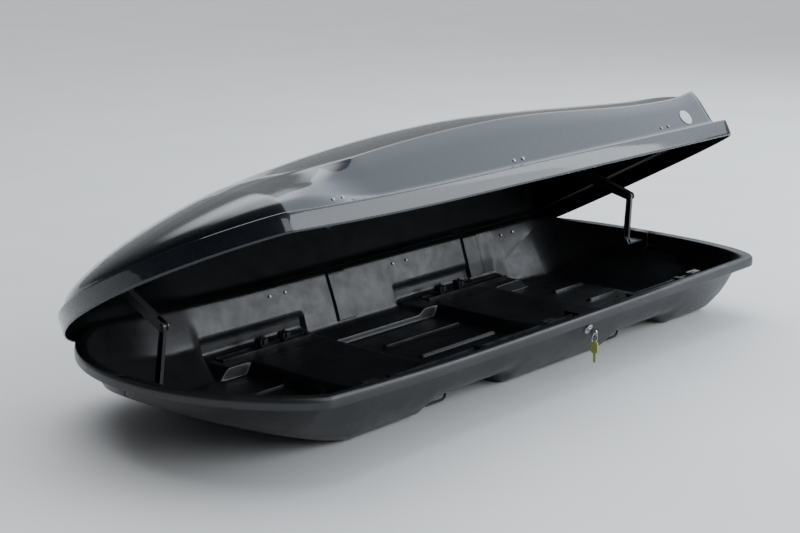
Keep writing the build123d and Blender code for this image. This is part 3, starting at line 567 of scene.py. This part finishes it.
def dome_corners(x):
    """Corners of the dome for the lid's station x: behind the rear wall they lie flat on the ledge."""
    reach = (x + HALF_LENGTH) * (LID_TAIL - DOME_NOSE) / (TAIL_STATION + HALF_LENGTH)
    place = min(LID_TAIL, DOME_NOSE + reach)
    profile = dome_half_profile(place)
    foot = profile[0][1]
    if x > TAIL_STATION + 0.0002:
        run = min(1.0, (x - TAIL_STATION) / (HALF_LENGTH - TAIL_STATION))
        ledge_x = LID_TAIL + run * (HALF_LENGTH - 0.004 - LID_TAIL)
        scale = plan_half_width(ledge_x, -DOME_INSET) / plan_half_width(LID_TAIL, -DOME_INSET)
        return [(ledge_x, y * scale, foot) for y, z in profile]
    droop = 0.010 * max(0.0, 1 - (TAIL_STATION - x) / 0.010) ** 2.5
    return [(place, y, z - droop * (z - foot) / 0.1) for y, z in profile]


def lid_half_row(x):
    """Outer face of the lid at x, from the skirt's lower edge to the centre line."""
    grow = LID_GAP + LID_SKIN
    skirt_x = x * (HALF_LENGTH + grow) / HALF_LENGTH
    half = plan_half_width(skirt_x, grow)
    rise = rim_rise(x)
    corners = [
        ((skirt_x, max(0.0, half - 0.0005), BASE_DEPTH - SKIRT_DROP + rise), 0, 2),
        ((skirt_x, half, BASE_DEPTH + 0.5 * SKIRT_TOP + rise), 0.010, 2),
        ((skirt_x, max(0.0, half - 0.001), BASE_DEPTH + SKIRT_TOP + rise), 0.005, 0),
    ]
    for point, (radius, extra) in zip(dome_corners(x), DOME_ROUNDING):
        corners.append((point, radius, extra))
    return section(corners)


def build_lid():
    stations = [-HALF_LENGTH + gap for gap in END_GAPS]
    stations += stations_between(-HALF_LENGTH + 0.036, TAIL_STATION - 0.010, 0.0065)
    stations += [TAIL_STATION - gap for gap in (0.0075, 0.005, 0.003, 0.0015, 0.0005, 0.0)]
    stations += [TAIL_STATION + 0.0004, 0.892, 0.901, 0.910]
    stations += [HALF_LENGTH - gap for gap in reversed(END_GAPS)]
    rows = []
    for x in stations:
        half_row = lid_half_row(x)
        mirrored = [Vector((point.x, -point.y, point.z)) for point in reversed(half_row[:-1])]
        rows.append(half_row + mirrored)
    shell = skin("lid_skin", rows, flip=True)
    smooth(shell, 32)
    paint(shell, lid_gloss, lid_inside)
    open_lid(shell)
    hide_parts("lid_shell")
    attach(shell, "lid")
    thicken(shell, LID_SKIN).material_offset = 1


build_base()
build_lid()

# ---------------------------------------------------------------- finish of the CAD's own pieces
FINISH = {
    "lid_shell": lid_gloss,
    "base_shell": base_plastic,
    "badge": white_vinyl,
    "spare_key": yellow_plastic,
    "lock_housing": bright_steel,
    "key": bright_steel,
    "key_ring": bright_steel,
    "lock_plug": bright_steel,
    "lock_box": black_plastic,
    "bar_guides": black_plastic,
    "stay_bracket_front": black_plastic,
}
for name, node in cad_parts.items():
    if name in FINISH:
        finish = FINISH[name]
    elif name.startswith("knob"):
        finish = black_plastic
    elif name.startswith("stay"):
        finish = stay_steel
    elif name.startswith(("rail", "clamp_plate", "u_bolt")):
        finish = dark_steel
    else:
        finish = zinc_steel
    paint(node, finish)


# ---------------------------------------------------------------- floor and light
def plane(name, size, z, material):
    mesh = bpy.data.meshes.new(name)
    corners = [(-size, -size, z), (size, -size, z), (size, size, z), (-size, size, z)]
    mesh.from_pydata(corners, [], [(0, 1, 2, 3)])
    obj = bpy.data.objects.new(name, mesh)
    scene.collection.objects.link(obj)
    obj.data.materials.append(material)


floor_material, floor_tree, floor_shader = shader("floor", (0.8, 0.8, 0.8), 0.9)
floor_tone = ramp(floor_tree, noise(floor_tree, 2, 2), (0.88, 0.88, 0.88), (0.91, 0.91, 0.91))
floor_tree.links.new(floor_tone, floor_shader.inputs["Base Color"])
plane("floor", 30, -0.0005, floor_material)


def area_light(name, place, target, width, height, watts, color):
    """Flat lamp at place that shines towards target; a lamp without a height is square."""
    light = bpy.data.lights.new(name, "AREA")
    light.energy = watts
    light.size = width
    if height:
        light.shape = "RECTANGLE"
        light.size_y = height
    light.color = color
    obj = bpy.data.objects.new(name, light)
    scene.collection.objects.link(obj)
    obj.location = place
    aim = Vector(target) - Vector(place)
    obj.rotation_euler = aim.to_track_quat("-Z", "Y").to_euler()


# The panel shows in the lid's flank and the rim, the mouth in the skirt, and the key lights the inside.
area_light("panel", (3.6, -0.3, 3.4), (0.0, -0.2, 0.3), 5.4, 4.0, 150, (0.80, 0.90, 1.0))
area_light("mouth", (3.3, -4.0, 2.1), (0.1, 0.0, 0.2), 4.0, 3.2, 180, (0.88, 0.94, 1.0))
area_light("key", (-0.4, -4.6, 2.4), (0.0, 0.1, 0.1), 2.6, None, 60, (0.95, 0.98, 1.0))

# The room is bright high up on the hinge side, dim behind the tail and dark off the nose, which gives the
# gloss its shape.
world = bpy.data.worlds.new("studio")
scene.world = world
world.use_nodes = True
world_nodes = world.node_tree.nodes
world_links = world.node_tree.links
direction = world_nodes.new("ShaderNodeTexCoord")
background = world_nodes["Background"]
background.inputs["Color"].default_value = (0.92, 0.96, 1.0, 1)


def glow(heading, start, end, low, high):
    """Brightness of the room that rises from low to high with how far a direction leans to heading."""
    slope = world_nodes.new("ShaderNodeVectorMath")
    slope.operation = "DOT_PRODUCT"
    slope.inputs[1].default_value = heading
    world_links.new(direction.outputs["Generated"], slope.inputs[0])
    fade = world_nodes.new("ShaderNodeMapRange")
    fade.interpolation_type = "SMOOTHSTEP"
    fade.inputs["From Min"].default_value = start
    fade.inputs["From Max"].default_value = end
    fade.inputs["To Min"].default_value = low
    fade.inputs["To Max"].default_value = high
    world_links.new(slope.outputs["Value"], fade.inputs["Value"])
    return fade.outputs["Result"]


total = world_nodes.new("ShaderNodeMath")
total.operation = "ADD"
world_links.new(glow((0.25, 0.50, 0.83), 0.84, 0.985, 0.0, 4.0), total.inputs[0])
world_links.new(glow((0.85, 0.30, 0.15), -0.6, 0.8, 0.05, 0.34), total.inputs[1])
world_links.new(total.outputs["Value"], background.inputs["Strength"])

# ---------------------------------------------------------------- camera
CAMERA_PLACE = Vector((-2.819, -2.619, 1.216))
YAW = 0.804                # radians, from +Y towards +X
PITCH = 0.249              # downwards
TILT = -0.017              # about the line of sight
LENS = 72.5                # millimetres
SENSOR = 36

forward = Vector((math.cos(PITCH) * math.sin(YAW), math.cos(PITCH) * math.cos(YAW), -math.sin(PITCH)))
level = Vector((math.cos(YAW), -math.sin(YAW), 0))
upright = level.cross(forward)
right = level * math.cos(TILT) + upright * math.sin(TILT)
up = -level * math.sin(TILT) + upright * math.cos(TILT)
camera_data = bpy.data.cameras.new("camera")
camera_data.lens = LENS
camera_data.sensor_width = SENSOR
camera = bpy.data.objects.new("camera", camera_data)
scene.collection.objects.link(camera)
camera.matrix_world = Matrix((
    (right.x, up.x, -forward.x, CAMERA_PLACE.x),
    (right.y, up.y, -forward.y, CAMERA_PLACE.y),
    (right.z, up.z, -forward.z, CAMERA_PLACE.z),
    (0, 0, 0, 1),
))
scene.camera = camera
